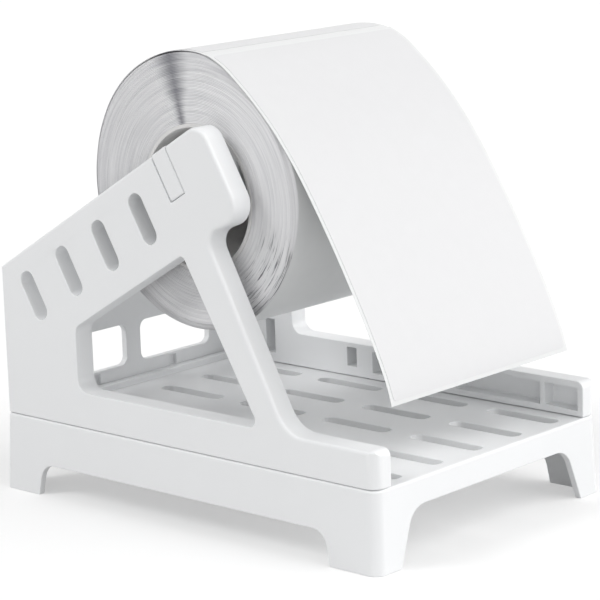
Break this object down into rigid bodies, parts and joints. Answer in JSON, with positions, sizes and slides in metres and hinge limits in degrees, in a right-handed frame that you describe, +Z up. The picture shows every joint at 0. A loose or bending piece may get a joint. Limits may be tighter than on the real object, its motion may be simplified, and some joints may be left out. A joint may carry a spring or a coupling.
{
  "type": "label roll holder",
  "caption": "Desktop label roll holder: slotted tray on feet, two notched side frames, rear panel, and a lift-out spindle with a turning roll and hanging leader.",
  "frame": {"origin": "middle of the footprint, on the surface that the feet stand on", "axes": "+Z up; -Y towards the open front, where the labels leave; +X towards the right side frame, with the spindle along X"},
  "size_m": [0.1344, 0.1944, 0.1794],
  "materials": {
    "white_plastic": "moulded white ABS with a satin surface",
    "label_paper": "coated white label paper with a soft gloss",
    "liner_paper": "smooth calendered backing paper",
    "core_board": "spiral wound grey core board",
    "steel": "zinc plated"
  },
  "bodies": {
    "stand": {"base_tray": "white_plastic", "left_side_frame": "white_plastic", "right_side_frame": "white_plastic", "rear_panel": "white_plastic", "left_frame_screw_front": "steel", "left_frame_screw_middle": "steel", "left_frame_screw_rear": "steel", "right_frame_screw_front": "steel", "right_frame_screw_middle": "steel", "right_frame_screw_rear": "steel"},
    "spindle": {"spindle_drum": "white_plastic", "left_spindle_end": "white_plastic", "right_spindle_end": "white_plastic", "slack_turns": "label_paper", "leader_liner": "liner_paper", "leader_label": "label_paper", "roll_label": "label_paper"},
    "label_roll": {"label_core": "core_board", "wound_labels": "label_paper"}
  },
  "joints": [
    {"name": "spindle_lift", "type": "slide", "parent": "stand", "child": "spindle", "axis": [0, 0.5045, 0.8634], "range_m": [0, 0.1]},
    {"name": "roll_spin", "type": "hinge", "parent": "spindle", "child": "label_roll", "pos_m": [0, -0.00044, 0.12413], "axis": [1, 0, 0], "continuous": true}
  ]
}
